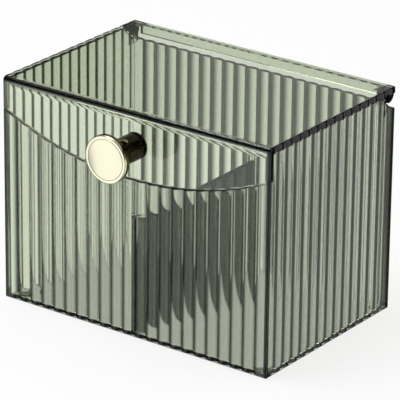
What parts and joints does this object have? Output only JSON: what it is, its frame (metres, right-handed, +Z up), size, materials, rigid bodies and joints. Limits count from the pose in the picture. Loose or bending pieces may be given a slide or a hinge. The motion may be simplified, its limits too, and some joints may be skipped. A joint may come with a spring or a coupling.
{
  "type": "cotton swab holder",
  "caption": "Clear reeded flip-lid box for cotton swabs, with a divider plate and a round gold knob on the lid's curved front flap.",
  "frame": {"origin": "centre of the case's footprint, on the surface that the feet stand on", "axes": "+X to the right along the case's width, +Y to the back where the hinge is, +Z up"},
  "size_m": [0.136, 0.1082, 0.1005],
  "materials": {
    "clear_plastic": "clear smoke green, polished, reeded outside; almost black through its edges",
    "smoke_plastic": "clear dark smoke green, polished",
    "gold_metal": "polished pale gold",
    "screw_steel": "bright plated",
    "pin_steel": "ground",
    "foot_rubber": "soft, translucent grey"
  },
  "bodies": {
    "case": {"box_body": "clear_plastic", "hinge_pin_left": "pin_steel", "hinge_pin_right": "pin_steel", "foot_front_left": "foot_rubber", "foot_front_right": "foot_rubber", "foot_back_left": "foot_rubber", "foot_back_right": "foot_rubber"},
    "lid": {"lid": "clear_plastic", "knob": "gold_metal", "knob_washer": "gold_metal", "knob_screw": "screw_steel"},
    "divider": {"divider": "smoke_plastic"}
  },
  "joints": [
    {"name": "lid_hinge", "type": "hinge", "parent": "case", "child": "lid", "pos_m": [0, 0.041, 0.0959], "axis": [-1, 0, 0], "range_deg": [0, 97]},
    {"name": "divider_lift", "type": "slide", "parent": "case", "child": "divider", "axis": [0, 0, 1], "range_m": [0, 0.026]}
  ]
}
